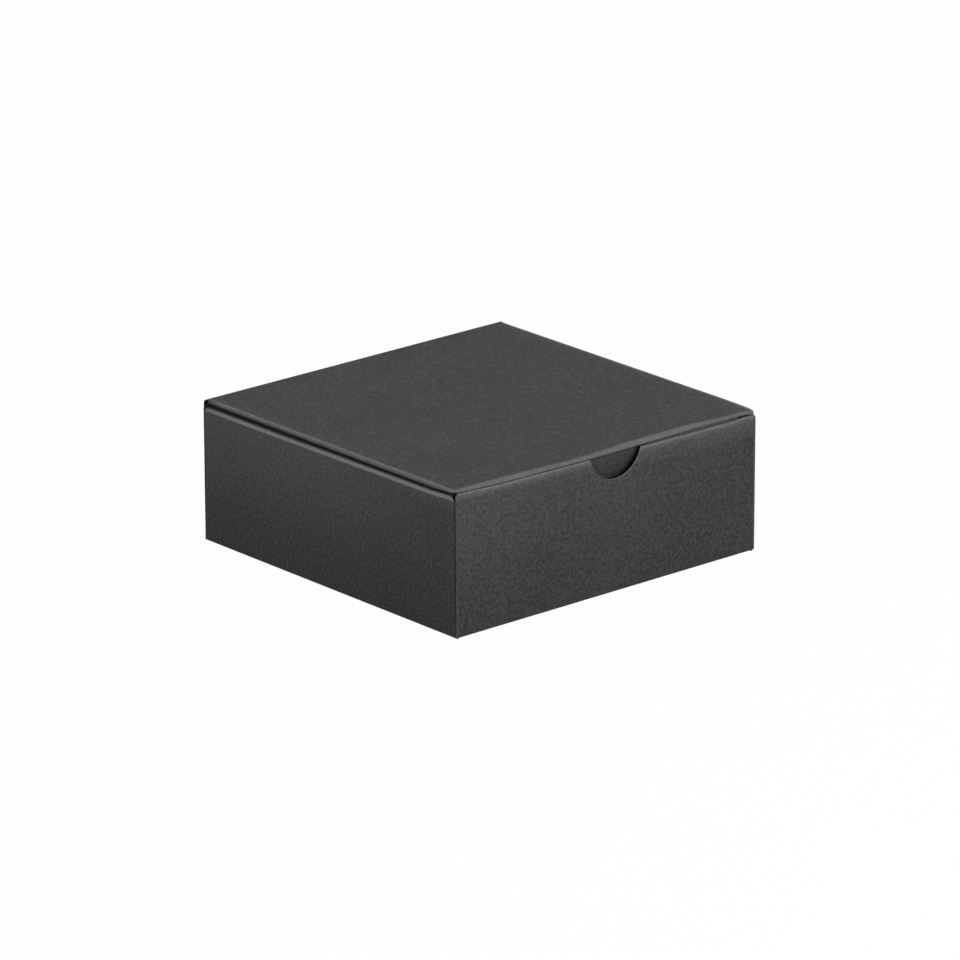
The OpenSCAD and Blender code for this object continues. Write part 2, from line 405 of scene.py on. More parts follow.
def corner_lip():
    """A corner fold that covers its neighbour's cut edge with a thin lip."""
    return Edge([
        (rounding(d, LIP_ROUND, LIP_ROUND) if d <= LIP_THICKNESS else LIP_REACH, d)
        for d in WALL_DEPTHS
    ])


print("steps in a wall's edge:", len(WALL_DEPTHS))

# %% Smooth steps, lines and arcs
def smooth_step(t):
    t = min(max(t, 0), 1)
    return t * t * (3 - 2 * t)


def ramp(value, start, end):
    """0 up to start, 1 from end on, and smooth between, as Recipe.fade does with nodes."""
    return smooth_step((value - start) / (end - start))


def between(start, end, share):
    return start + (end - start) * share


def spaced(start, end, step):
    """Values from start to end, both included, about `step` apart."""
    count = max(1, round(abs(end - start) / step))
    return [between(start, end, i / count) for i in range(count + 1)]


def arc(centre, radius, start, end, steps):
    """Points on an arc, with angles in degrees."""
    turns = [math.radians(between(start, end, i / steps)) for i in range(steps + 1)]
    return [(centre[0] + radius * math.cos(t), centre[1] + radius * math.sin(t)) for t in turns]


# %% The die-cut board builder
NEARLY_STRAIGHT = 0.3
TINY_M = 1e-6
SHARP_DEGREES = 38
FLAT_FACE_WEIGHT = 100
OPEN_SLACK, SAME_PLACE = 0.02, 0.01


def edge_normals(before, here, after):
    first = (here - before).normalized()
    second = (after - here).normalized()
    return Vector((first.y, -first.x)), Vector((second.y, -second.x))


def inset_point(here, first, second, near, far):
    """Where a corner goes when its two edges move in by near and far."""
    turn = first.x * second.y - first.y * second.x
    if abs(turn) < NEARLY_STRAIGHT:
        return here - (first + second).normalized() * (near + far) / 2
    return here + Vector((
        (far * first.y - near * second.y) / turn,
        (near * second.x - far * first.x) / turn,
    ))


def smooth_board(name, shape):
    """Writes a mesh in metres, with shading that keeps flat faces flat."""
    bmesh.ops.remove_doubles(shape, verts=shape.verts, dist=2 * TINY_M)
    bmesh.ops.recalc_face_normals(shape, faces=shape.faces)
    mesh = bpy.data.meshes.new(name)
    shape.to_mesh(mesh)
    shape.free()
    mesh.shade_smooth()
    mesh.set_sharp_from_angle(angle=math.radians(SHARP_DEGREES))
    piece = add_object(name, mesh)
    weighted = piece.modifiers.new("flat_faces_stay_flat", "WEIGHTED_NORMAL")
    weighted.keep_sharp = True
    weighted.weight = FLAT_FACE_WEIGHT
    ready = piece.evaluated_get(bpy.context.evaluated_depsgraph_get())
    final = bpy.data.meshes.new_from_object(ready)
    final.name = name
    piece.modifiers.clear()
    piece.data = final
    return piece


def die_cut(name, outline, edges, place, planes=(), warp=None):
    """Board with this outline (anticlockwise seen from its face) and an Edge from each
    point to the next. `place` turns (u, v, depth) into a point; `planes` cut the skin
    further, so that `warp` can bend it."""
    count = len(outline)
    points = [Vector(p) for p in outline]
    shape = bmesh.new()
    rings = []
    depths = []
    for i, here in enumerate(points):
        first, second = edge_normals(points[i - 1], here, points[(i + 1) % count])
        column = []
        for (a, b), (c, d) in zip(edges[i - 1].steps, edges[i].steps):
            moved = inset_point(here, first, second, a, c)
            column.append((moved.x, moved.y, (b + d) / 2))
        rings.append([shape.verts.new(Vector(place(*p)) * MM) for p in column])
        depths.append([p[2] for p in column])
    for i in range(count):
        j = (i + 1) % count
        open_from = edges[i].open_from
        for k in range(len(rings[0]) - 1):
            corners = rings[i][k], rings[i][k + 1], rings[j][k + 1], rings[j][k]
            face = shape.faces.new(corners)
            upper = min(depths[i][k], depths[i][k + 1])
            face.material_index = int(open_from is not None and upper > open_from - OPEN_SLACK)
    shape.faces.new([rings[i][0] for i in range(count)])
    shape.faces.new([rings[i][-1] for i in reversed(range(count))])
    for point, normal in planes:
        everything = [*shape.verts, *shape.edges, *shape.faces]
        bmesh.ops.bisect_plane(
            shape, geom=everything, plane_co=Vector(point) * MM, plane_no=normal
        )
    if warp:
        for vert in shape.verts:
            vert.co = Vector(warp(*(vert.co / MM))) * MM
    return smooth_board(name, shape)


def finish_piece(piece, body, nodes, paper, edge=None):
    """Gives a piece its materials and hangs it on its body in place of its solids."""
    piece.data.materials.append(paper)
    piece.data.materials.append(edge or paper)
    if body:
        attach(piece, body)
    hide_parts(*nodes)
    print(piece.name, len(piece.data.polygons), "faces")


# %% [markdown]
# ## Lid
# The lid is one flat panel. Its side edges are knife-cut and crushed, and near the front
# they are round further down; rubbed paper with a painted highlight lies along their upper
# rim and fades out downwards, so they darken downwards. Its front edge is the crease of the
# tuck flap: the board curves down to a blunt nose in the middle of the edge, and nearer the
# corners, where the flap ends, it is a plain cut edge; the fold carries rubbed paper and a
# painted highlight. Use has pressed the nose thin on the wall at its left end, lifted it
# right of the notch and bent the right front corner down. One profile with numbers that
# change along the edge makes the front, and a warp bends the corner.

# %% Lid profile
# Plain edges: how far in the rounding starts, and how deep it ends at the back and front
LID_EDGE_INSET, LID_EDGE_DROPS, FRONT_DROP_Y = 0.5, (0.9, 1.22), (28, -47)
# The eased lower rim: its radius, its middle point, and the least rim left above it
UNDER_EASE, UNDER_MIDDLE, LEAST_RIM = 0.2, 0.06, 0.22
UNDER_SLOPE, PLAIN_REACH = 1.2, 2
# The nose, where it is full, how it hangs, and where it is lifted
NOSE_REACH, NOSE_DROP = 3.2, 1.2
NOSE_BACK = fold_high.y - fold_low.y
NOSE_GROWS_OVER, NOSE_END_SLACK = 52, 0.3
NOSE_HANG, NOSE_LIFT, NOSE_GAP = 0.36, 0.33, 0.28
LIFT_STARTS_X, LIFT_ENDS_X = (4, 20), (50, 64)
# The front wall's top edge: its slope each way from the middle, and the curl at its ends
TILT_LEFT, TILT_RIGHT = 0.014, 0.010
LEFT_CURL, LEFT_CURL_X = 0.55, (-52, -72)
RIGHT_CURL, RIGHT_CURL_X = 0.4, (60, 71)
LID_STEPS = 7


def rounded_steps(inset, drop):
    """Steps of a rounded edge, from `inset` in on the face to `drop` down on the rim."""
    turns = quarter_turn(LID_STEPS)
    return [(inset * (1 - math.sin(t)), drop * (1 - math.cos(t))) for t in turns]


def nose_share(x):
    """0 at the lid's corners, where the edge is plain, and 1 where the nose is full."""
    return smooth_step((fold_high.x - abs(x)) / NOSE_GROWS_OVER)


def wall_top(x):
    """Height of the front wall's top edge, which the nose has to clear: it slopes down to
    the right and curls up a little at both ends."""
    curl = LEFT_CURL * ramp(x, *LEFT_CURL_X) + RIGHT_CURL * ramp(x, *RIGHT_CURL_X)
    return front_high.z - (TILT_LEFT if x < 0 else TILT_RIGHT) * x + curl


def nose_hang(x):
    """How far the nose hangs below the lid: most in the middle, less right of the notch.
    Near its left end it is pressed thin on the wall below, so the value is negative there."""
    lifted = ramp(x, *LIFT_STARTS_X) * (1 - ramp(x, *LIFT_ENDS_X))
    hang = NOSE_HANG * max(0, 1 - (x / fold_high.x) ** 2) - NOSE_LIFT * lifted
    return min(hang, lid_low.z - wall_top(x) - NOSE_GAP)


def lid_front(x):
    """The lid's front edge at x: a nose over the tuck fold, and a plain edge beside it."""
    share = nose_share(x)
    low = BOARD + nose_hang(x)
    drop = min(between(LID_EDGE_DROPS[0], NOSE_DROP, share), low - LEAST_RIM)
    front = rounded_steps(between(LID_EDGE_INSET, NOSE_REACH, share), drop)
    reach = NOSE_BACK if abs(x) < fold_high.x + NOSE_END_SLACK else PLAIN_REACH
    under = [
        (0, low - UNDER_EASE), (UNDER_MIDDLE, low - UNDER_MIDDLE), (UNDER_EASE, low),
        (reach - UNDER_SLOPE, low),
    ]
    return Edge(front + under + [(reach, BOARD), (reach, BOARD)])


def lid_side(y):
    """A side edge of the lid at y: cut and crushed, so that its upper part is round, and
    further down near the front."""
    drop = between(*LID_EDGE_DROPS, ramp(y, *FRONT_DROP_Y))
    under = [(0, BOARD - UNDER_EASE), (UNDER_MIDDLE, BOARD - UNDER_MIDDLE)]
    under += [(UNDER_EASE, BOARD)] * 4
    return Edge(rounded_steps(LID_EDGE_INSET, drop) + under, open_from=drop)


print("nose hang at the left, the middle and the right:",
      [round(nose_hang(x), 2) for x in (-60, 0, 60)])

# %% Lid
LID_LEFT_R, LID_RIGHT_R, LID_CORNER_STEPS = 2.3, 1.4, 5
REAR_LENGTH = 1.15
REAR_Y = lid_high.y + REAR_LENGTH
# Spacing of the outline's points: by the flap's ends, in the middle, beside the flap, and
# along the sides from their first point on
END_STRETCH, END_SPACING, MIDDLE_SPACING = 24, 3, 5
PLAIN_START, PLAIN_SPACING = 0.4, 1.8
SIDE_FIRST_Y, SIDE_SPACING = -60, 14
# The bent corner: how far it goes down, its tip goes down, and it goes out, and where
CORNER_DROOP, CORNER_TIP_DROOP, CORNER_SPREAD = 0.45, 0.4, 0.62
BEND_X, BEND_Y, TIP_DIAGONAL = (65, 74.3), (-56, -70), (142.6, 146.4)
CUTS_X = [*spaced(65, 71.4, 1.6), 72.2, 73, 73.7]
CUTS_Y = [-72.5, -71.7, -70.8, *spaced(-70, -56, 2.8)]
# Rubbed paper with a painted highlight: the front fold, the side rims, and the top beside them
FOLD_RUB_AND_HIGHLIGHT, RIM_RUB_AND_HIGHLIGHT, FACE_RUB_AND_HIGHLIGHT = 0.42, 0.52, 0.03


def lid_outline():
    front_y, side_x, left_r, right_r = fold_low.y, lid_high.x, LID_LEFT_R, LID_RIGHT_R
    fold_x, inner_x = fold_high.x, fold_high.x - END_STRETCH
    inner_ends = spaced(fold_x, inner_x, END_SPACING)
    middle = spaced(inner_x, -inner_x, MIDDLE_SPACING)[1:-1]
    front_x = spaced(left_r - side_x, -fold_x - PLAIN_START, PLAIN_SPACING)[1:]
    front_x += [-x for x in inner_ends + middle] + inner_ends[::-1]
    front_x += spaced(side_x - right_r, fold_x + PLAIN_START, PLAIN_SPACING)[:0:-1]
    points = arc((left_r - side_x, front_y + left_r), left_r, 180, 270, LID_CORNER_STEPS)
    points += [(x, front_y) for x in front_x]
    points += arc((side_x - right_r, front_y + right_r), right_r, -90, 0, LID_CORNER_STEPS)
    points += [(side_x, y) for y in spaced(SIDE_FIRST_Y, REAR_Y, SIDE_SPACING)]
    points += [(-side_x, y) for y in spaced(REAR_Y, SIDE_FIRST_Y, SIDE_SPACING)]
    return points


def lid_wear_and_highlight(recipe, parts):
    """Rubbed paper with a painted highlight on the lid: along the front fold, narrower at its
    right end and wider at its left, and along the upper rim of both sides, fainter at the back.
    The bent corner's pale band bends with it."""
    x, y, z = parts.out("X"), parts.out("Y"), parts.out("Z")
    bend = recipe.fade(x, *BEND_X) * recipe.fade(y, *BEND_Y) * CORNER_DROOP
    z = z + bend + recipe.fade(x - y, *TIP_DIAGONAL) * CORNER_TIP_DROOP
    # How much further forward the rubbed stripe starts, in three stretches from the left
    narrowing = (
        recipe.fade(x, -80, -10) * 1.9 - recipe.fade(x, -10, 16) * 1.1
        + recipe.fade(x, 35, 72) * 2.7 - 1.9
    )
    stripe = recipe.fade(0 - y - narrowing, 71.0, 72.8)
    blunt = recipe.fade(0 - y, 72.4, 72.95)
    fold = recipe.larger(stripe, blunt) * recipe.fade(z, 54.9, 55.9)
    rim = recipe.fade(abs(x), 72.0, 74.0) * recipe.fade(z, 55.3, 56.7)
    rim = rim * (0.35 + recipe.fade(y, 71, 65) * 0.65)
    return recipe.larger(fold * FOLD_RUB_AND_HIGHLIGHT, rim * RIM_RUB_AND_HIGHLIGHT)


def bend_corner(x, y, z):
    """The lid's right front corner is bent down a little and stands out to the side."""
    share = ramp(x, *BEND_X) * ramp(y, *BEND_Y)
    tip = ramp(x - y, *TIP_DIAGONAL)
    return x + CORNER_SPREAD * share, y, z - CORNER_DROOP * share - CORNER_TIP_DROOP * tip


def make_lid():
    outline = lid_outline()
    front_end_y = fold_low.y + LID_LEFT_R + SAME_PLACE
    edges = []
    for i, (x, y) in enumerate(outline):
        next_x, next_y = outline[(i + 1) % len(outline)]
        if min(y, next_y) > REAR_Y - SAME_PLACE:
            edges.append(butt([depth for _, depth in lid_side(REAR_Y).steps]))
        elif max(y, next_y) < front_end_y:
            edges.append(lid_front((x + next_x) / 2))
        else:
            edges.append(lid_side((y + next_y) / 2))
    cuts = [((x, 0, 0), (1, 0, 0)) for x in CUTS_X] + [((0, y, 0), (0, 1, 0)) for y in CUTS_Y]
    lid = die_cut(
        "lid_board", outline, edges, lambda u, v, d: (u, v, lid_high.z - d),
        planes=cuts, warp=bend_corner,
    )
    # A faint painted highlight with rubbed paper on the lid's top beside its side rims
    pale_bands = [band("|x|", (66.0, 73.0), strength=FACE_RUB_AND_HIGHLIGHT)]
    paper = kraft("lid_paper", pale_bands, mottle=0.9, wear_and_light=lid_wear_and_highlight)
    edge = cut_edge(
        "lid_edge", "X", lid_high.x, "Z", lid_high.z, lid_low.z, openness=0.3, tone=1.9
    )
    finish_piece(lid, "lid", ["lid_panel", "tuck_crease"], paper, edge)


make_lid()

# %% [markdown]
# ## Board that bends over a crease
# The roll-over of a side wall, the lid's hinge fold and the tuck fold are strips of board
# that follow a curve. They could be a curve object with a bevel, but board keeps its two
# faces at a fixed distance and its ends are cut. So the strip is given as matching points
# on its outer and inner face, and each pair brings how far the strip reaches sideways.

# %% The strip builder
STRIP_COLUMNS = 24


def bent_strip(outer, inner, reach, place=lambda y, z, x: (x, y, z), columns=STRIP_COLUMNS):
    """A strip with the outer and inner faces' points (u, v) and, at each pair, the two ends
    that it reaches to sideways."""
    shape = bmesh.new()
    grid = []
    for (a, b, (low, high)) in zip(outer, inner, reach):
        sides = [between(low, high, j / columns) for j in range(columns + 1)]
        grid.append((
            [shape.verts.new(Vector(place(*a, w)) * MM) for w in sides],
            [shape.verts.new(Vector(place(*b, w)) * MM) for w in sides],
        ))
    for (out_a, in_a), (out_b, in_b) in zip(grid, grid[1:]):
        for j in range(columns):
            shape.faces.new((out_a[j], out_a[j + 1], out_b[j + 1], out_b[j]))
            shape.faces.new((in_a[j], in_b[j], in_b[j + 1], in_a[j + 1]))
        for j in (0, columns):
            shape.faces.new((out_a[j], out_b[j], in_b[j], in_a[j])).material_index = 1
    for out_row, in_row in (grid[0], grid[-1]):
        for j in range(columns):
            shape.faces.new((out_row[j], in_row[j], in_row[j + 1], out_row[j + 1]))
    bmesh.ops.dissolve_degenerate(shape, dist=1e-6, edges=shape.edges)
    return shape


# %% [markdown]
# ## Side walls
# Each side wall is folded up from the floor, rolled over at the top and comes down again on
# the inside. Its outer layer and the rolled top are one strip here: round at the floor,
# flat up the face, round over the shoulder, a little crowned across the top and round again
# down the inner side. On the left the rolled top stops short of the front corner, which
# leaves a small notch there; on the right it reaches nearly to the front wall. Both tops
# spring up towards their front ends, as folded board does, and the rubbed paper and painted
# highlight of the shoulder have to follow them. The wall's paper is also painted paler
# higher up, in its middle and towards its back end, as painted light.

# %% Side walls
SIDE_FOLD_R = BOARD
SHOULDER_STEPS = 10
FACE_SPACING = 4
# Where the layers end: short of the back wall, and at the seam by the front corner
BACK_SETBACK, RIGHT_SETBACK = 0.3, 0.1
SEAM, SEAM_OPENS_Z = (0.12, 0.48), (6, 20)
# The crown across the top, and the room that a sprung top has below the lid
CROWN, CROWN_GROWS_OVER, STRIP_ROOM = 0.45, 1.4, 1.45
TIP_OVER = 13
SPRING_STARTS_Z, SPRING_STARTS_IN = (44, 52), 0.7
# Rubbed paper and painted highlight by height, before any spring: the shoulder, and the fade
# below it
SHOULDER_FROM, SHOULDER_TO, FADE_TO = (52.1, 52.9), (54.02, 53.5), (53.95, 53.7)
SHOULDER_RUB_AND_HIGHLIGHT, SHOULDER_BACK_HIGHLIGHT = 0.72, 0.2
# Painted light: the wall paler higher up, towards its back end and in its middle
WALL_PAINTED_LIGHT, WALL_PAINTED_LIGHT_PER_MM, WALL_MIDDLE_PAINTED_LIGHT, UPPER_PAINTED_LIGHT = 0.13, 0.0008, 0.06, 0.165


def wall_ends(z):
    """Ends of the outer layer at this height: the seam at the corners closes at the foot."""
    end = front_high.y - BOARD + LIP_THICKNESS + between(*SEAM, ramp(z, *SEAM_OPENS_Z))
    return end, -end


def side_section(front_end):
    """Outer points, inner points and ends of the right side wall, from bottom to top."""
    face, back = outer_high.x, outer_low.x
    shoulder_z, inner_face = strip_low.z, strip_low.x
    top_ends = (front_end, outer_high.y - BACK_SETBACK)
    outer = arc((back, BOARD), SIDE_FOLD_R, -90, 0, SHOULDER_STEPS)
    inner = [(back, BOARD * i / SHOULDER_STEPS) for i in range(SHOULDER_STEPS + 1)]
    reach = [wall_ends(z) for _, z in outer]
    for z in spaced(BOARD, shoulder_z, FACE_SPACING)[1:-1]:
        outer.append((face, z))
        inner.append((back, z))
        reach.append(wall_ends(z))
    shoulder = arc((back, shoulder_z), SIDE_FOLD_R, 0, 90, SHOULDER_STEPS)
    outer += shoulder
    inner += [(back, shoulder_z)] * len(shoulder)
    for i in range(len(shoulder)):
        share = smooth_step(i / (SHOULDER_STEPS - 2))
        reach.append(tuple(between(a, b, share) for a, b in zip(wall_ends(shoulder_z), top_ends)))
    roll = arc((inner_face + BOARD, shoulder_z), SIDE_FOLD_R, 90, 180, SHOULDER_STEPS)
    outer += roll
    inner += [(inner_face + BOARD, shoulder_z)] * len(roll)
    reach += [top_ends] * len(roll)
    return outer, inner, reach


class Spring:
    """How far a rolled top has sprung up: `most` at its front end, and less and less over
    the length `over` behind it; `tip` is added over the last few millimetres."""

    def __init__(self, most, over, tip):
        self.most, self.over, self.tip = most, over, tip

    def pale_band_rise(self, recipe, parts):
        """The rise at the wall's shoulder as a node, so that the rubbed paper and painted
        highlight follow it.
        """
        y = parts.out("Y")
        tip = recipe.fade(y, strip_low.y + TIP_OVER, strip_low.y) * self.tip
        return recipe.fade(y, strip_low.y + self.over, strip_low.y) * self.most + tip

    def at(self, x, y, z):
        from_end = y - strip_low.y
        rise = self.most * smooth_step(1 - from_end / self.over)
        rise += self.tip * smooth_step(1 - from_end / TIP_OVER)
        outer_side = ramp(z, *SPRING_STARTS_Z) * smooth_step(x - inner_high.x - SPRING_STARTS_IN)
        roll = smooth_step((z - strip_low.z) / BOARD)
        crown = CROWN * smooth_step((outer_low.x - x) / CROWN_GROWS_OVER) * roll
        return min(rise * max(outer_side, roll) + crown, STRIP_ROOM)


def side_wear_and_light(spring):
    """Painted light that makes the wall paler higher up, in its middle and towards its back end,
    and rubbed paper with a painted highlight along the shoulder, at the height to which this
    wall has sprung up."""
    def wear_and_light(recipe, parts):
        y = parts.out("Y")
        height = parts.out("Z") - spring.pale_band_rise(recipe, parts)
        below_roll = recipe.fade(height, *FADE_TO)
        shoulder = recipe.fade(height, *SHOULDER_FROM) * recipe.fade(height, *SHOULDER_TO)
        return recipe.larger(
            recipe.fade(height, 0, 60) * below_roll * (
                y * WALL_PAINTED_LIGHT_PER_MM + WALL_PAINTED_LIGHT + recipe.fade(abs(y), 62, 8) * WALL_MIDDLE_PAINTED_LIGHT
            ),
            recipe.fade(height, 42, 54) * below_roll * UPPER_PAINTED_LIGHT,
            shoulder * (SHOULDER_RUB_AND_HIGHLIGHT + recipe.fade(y, 72, 60) * SHOULDER_BACK_HIGHLIGHT),
        )
    return wear_and_light


def make_side(prefix, front_end, spring):
    side = 1 if prefix == "right" else -1
    name = prefix + "_roll_over"
    outer, inner, reach = side_section(front_end)

    def place(x, z, y):
        return side * x, y, z + spring.at(x, y, z)

    shape = bent_strip(outer, inner, reach, place)
    wall = smooth_board(name, shape)
    paper = kraft(name + "_paper", mottle=1.2, tint=(1.01, 1, 0.96), wear_and_light=side_wear_and_light(spring))
    edge = cut_edge(name + "_edge", "Z", 0, "X", side * outer_high.x, side * outer_low.x)
    nodes = [prefix + "_outer_wall", prefix + "_top_strip"]
    finish_piece(wall, "box", nodes, paper, edge)


make_side("right", front_high.y + RIGHT_SETBACK, Spring(most=0.95, over=16, tip=0.45))
make_side("left", strip_low.y, Spring(most=0.52, over=125, tip=0.5))

# %% [markdown]
# ## Front wall
# The front wall has the half-moon thumb notch, a little right of its middle. Its top edge
# slopes and curls up at both ends, as `wall_top` gives it. It is crushed by the tuck flap
# that slides behind it, so it is rounded further down than a fresh cut; the notch's edge is
# crisp, and thumbs have rubbed the paper round it, which also carries a painted highlight.
# The wall's paper is painted paler towards its top edge, as painted light, with a painted
# highlight along the top edge and the rounded corners, and its cut faces are painted nearly
# black as painted shade. At both ends the board folds round the corner and covers the side
# wall's cut edge with a thin lip.

# %% Front wall
NOTCH_R, NOTCH_DEPTH, NOTCH_SHIFT = 12.9, 9.6, 3.6
NOTCH_CENTRE_Z = front_high.z - NOTCH_DEPTH + NOTCH_R
NOTCH_HALF = math.sqrt(NOTCH_R ** 2 - (NOTCH_R - NOTCH_DEPTH) ** 2)
NOTCH_STEPS, NOTCH_TURN_LESS, NOTCH_START = 36, 2.2, 0.3
LEFT_CORNER_R, RIGHT_CORNER_R = 1.3, 1.2
# The top edge's easing, crisp and crushed, and how far from the notch it changes
TOP_INSETS, TOP_OVERS, CRUSH_GROWS = (0.4, 1.1), (0.3, 0.45), (0.8, 9.8)
TOP_END_STRETCH, TOP_END_SPACING, TOP_SPACING = 12, 2, 6
# Thumb wear with a painted highlight on the notch's rim, its corners and its tips
THUMB_RUB_AND_HIGHLIGHT, NOTCH_CORNER_RUB_AND_HIGHLIGHT, NOTCH_TIP_RUB_AND_HIGHLIGHT = 0.45, 0.32, 0.7


def top_edge(x):
    """The front wall's top edge: strongly eased, but crisp at the notch and the corners."""
    from_end = min(front_high.x - abs(x), abs(x - NOTCH_SHIFT) - NOTCH_HALF)
    share = ramp(from_end, *CRUSH_GROWS)
    return Edge(knife_edge(between(*TOP_INSETS, share), between(*TOP_OVERS, share)).steps)


def top_run(corner_x, notch_x):
    """Points of the top edge from a corner to the notch, closer together at the ends."""
    inwards = -TOP_END_STRETCH if corner_x > notch_x else TOP_END_STRETCH
    first, last = corner_x + inwards, notch_x - inwards
    run = spaced(corner_x, first, TOP_END_SPACING)[1:] + spaced(first, last, TOP_SPACING)[1:]
    run += spaced(last, notch_x, TOP_END_SPACING)[1:]
    return [(x, wall_top(x)) for x in run]


def front_outline():
    """Pairs of a point (x, z), anticlockwise from the lower left, and the edge from it on."""
    half, left_r, right_r = front_high.x, LEFT_CORNER_R, RIGHT_CORNER_R
    left_top, right_top = wall_top(left_r - half), wall_top(half - right_r)
    turn = math.degrees(math.asin(NOTCH_HALF / NOTCH_R)) - NOTCH_TURN_LESS
    right_corner = arc((half - right_r, right_top - right_r), right_r, 0, 90, 5)
    left_corner = arc((left_r - half, left_top - left_r), left_r, 90, 180, 6)
    notch = arc((NOTCH_SHIFT, NOTCH_CENTRE_Z), NOTCH_R, turn - 90, -turn - 90, NOTCH_STEPS)
    run_right = top_run(half - right_r, NOTCH_SHIFT + NOTCH_HALF + NOTCH_START)
    run_left = top_run(left_r - half, NOTCH_SHIFT - NOTCH_HALF - NOTCH_START)
    runs = [
        ([(-half, 0)], "floor"), ([(half, 0)], "corner"), (right_corner[:-1], "cut"),
        (right_corner[-1:] + run_right[:-1], "top"), (run_right[-1:] + notch, "cut"),
        (run_left[::-1], "top"), (left_corner[:-1], "cut"), (left_corner[-1:], "corner"),
    ]
    return [(point, kind) for points, kind in runs for point in points]


def front_wear_and_light(recipe, parts):
    """Painted light that makes the paper paler towards the top edge in four widths, the
    narrowest a painted highlight along the edge, and thumb wear with a painted highlight in a
    thin line along the notch's right rim and at both of its corners."""
    x, z = parts.out("X"), parts.out("Z")
    slope = recipe.math("MINIMUM", x, 0) * TILT_LEFT
    curl = recipe.fade(x, *LEFT_CURL_X) * LEFT_CURL + recipe.fade(x, *RIGHT_CURL_X) * RIGHT_CURL
    height = z + slope + recipe.larger(x, 0) * TILT_RIGHT - curl
    # Painted light and a painted highlight: paler towards the top edge, changing a little from
    # left to right
    worn_and_lit = recipe.larger(
        recipe.fade(height, 52.8, 54.6) * 0.52, recipe.fade(height, 50, 54.2) * 0.29,
        recipe.fade(height, 42, 54.5) * (0.16 + x * 0.0005),
        recipe.fade(height, 0, 60) * (0.079 - x * 0.0006),
    )
    across, up = x - NOTCH_SHIFT, z - NOTCH_CENTRE_Z
    from_centre = recipe.math("SQRT", across * across + up * up)
    rim = recipe.fade(from_centre, NOTCH_R + 0.6, NOTCH_R + 0.25) * recipe.fade(across, -5, 4)
    beside, below = abs(across) - NOTCH_HALF, z - front_high.z
    from_corner = recipe.math("SQRT", beside * beside + below * below)
    corners = recipe.fade(from_corner, 4.5, 0.5) * NOTCH_CORNER_RUB_AND_HIGHLIGHT
    tips = recipe.fade(from_corner, 1.8, 0.3) * NOTCH_TIP_RUB_AND_HIGHLIGHT
    return recipe.larger(worn_and_lit, rim * THUMB_RUB_AND_HIGHLIGHT, corners, tips)


def make_front_wall():
    outline = front_outline()
    made = {"floor": floor_fold(), "corner": corner_lip(), "cut": knife_edge(0.25, 0.2)}
    edges = []
    for i, ((x, _), kind) in enumerate(outline):
        next_x = outline[(i + 1) % len(outline)][0][0]
        edges.append(top_edge((x + next_x) / 2) if kind == "top" else made[kind])
    points = [point for point, _ in outline]
    wall = die_cut(
        "front_wall_board", points, edges, lambda x, z, d: (x, front_low.y + d, z)
    )
    # A painted highlight on the wall's rounded corner folds
    pale_bands = [band("|x|", (73.6, 74.4), (74.95, 74.7), strength=0.12)]
    paper = kraft("front_paper", pale_bands, mottle=1.15, wear_and_light=front_wear_and_light, tint=(1, 1, 0.985))
    # The cut faces are painted nearly black: painted shade for the notch's rim, where the flap
    # behind lies in shadow
    edge = cut_edge(
        "front_edge", "X", 0, "Y", front_low.y, front_high.y, medium_tone=0.1, tone=0.15
    )
    finish_piece(wall, "box", ["front_wall"], paper, edge)


make_front_wall()

# %% [markdown]
# ## Back wall and hinge fold
# The back wall is a plain panel up to the hinge crease. The hinge fold is the board between
# the wall and the lid. It follows the back wall at its lower end and the lid at its other
# end, and turns smoothly between them. The wall is a little wider than the lid, so the fold
# draws in to the lid's width round the bend.

# %% Back wall and hinge fold
HINGE_Y, HINGE_Z = back_low.y, lid_low.z
# Spacing and steps round the bend, and the crushed inner corner that the inside folds round
HINGE_SPACING, HINGE_STEPS, CRUSHED = 0.5, 10, 0.1
WALL_SETBACK, LID_SETBACK = 0.15, 0.3
# The fold's width at the wall, as a share of the way to the lid's, and where it draws in
FOLD_WIDTH_SHARE, DRAW_IN_STEPS = 0.45, (5, 11)


def make_back_wall():
    half, top = back_high.x, back_high.z
    outline = [(-half, 0), (half, 0), (half, top), (-half, top)]
    edges = [floor_fold(), corner_lip(), butt(WALL_DEPTHS), corner_lip()]
    wall = die_cut(
        "back_wall_board", outline, edges, lambda u, z, d: (-u, back_high.y - d, z)
    )
    # Painted light: the paper paler higher up the wall
    pale_bands = [band("Z", (49, 53.5), strength=0.1), band("Z", (0, 60), strength=0.08)]
    paper = kraft("back_paper", pale_bands)
    finish_piece(wall, "box", ["back_wall"], paper)


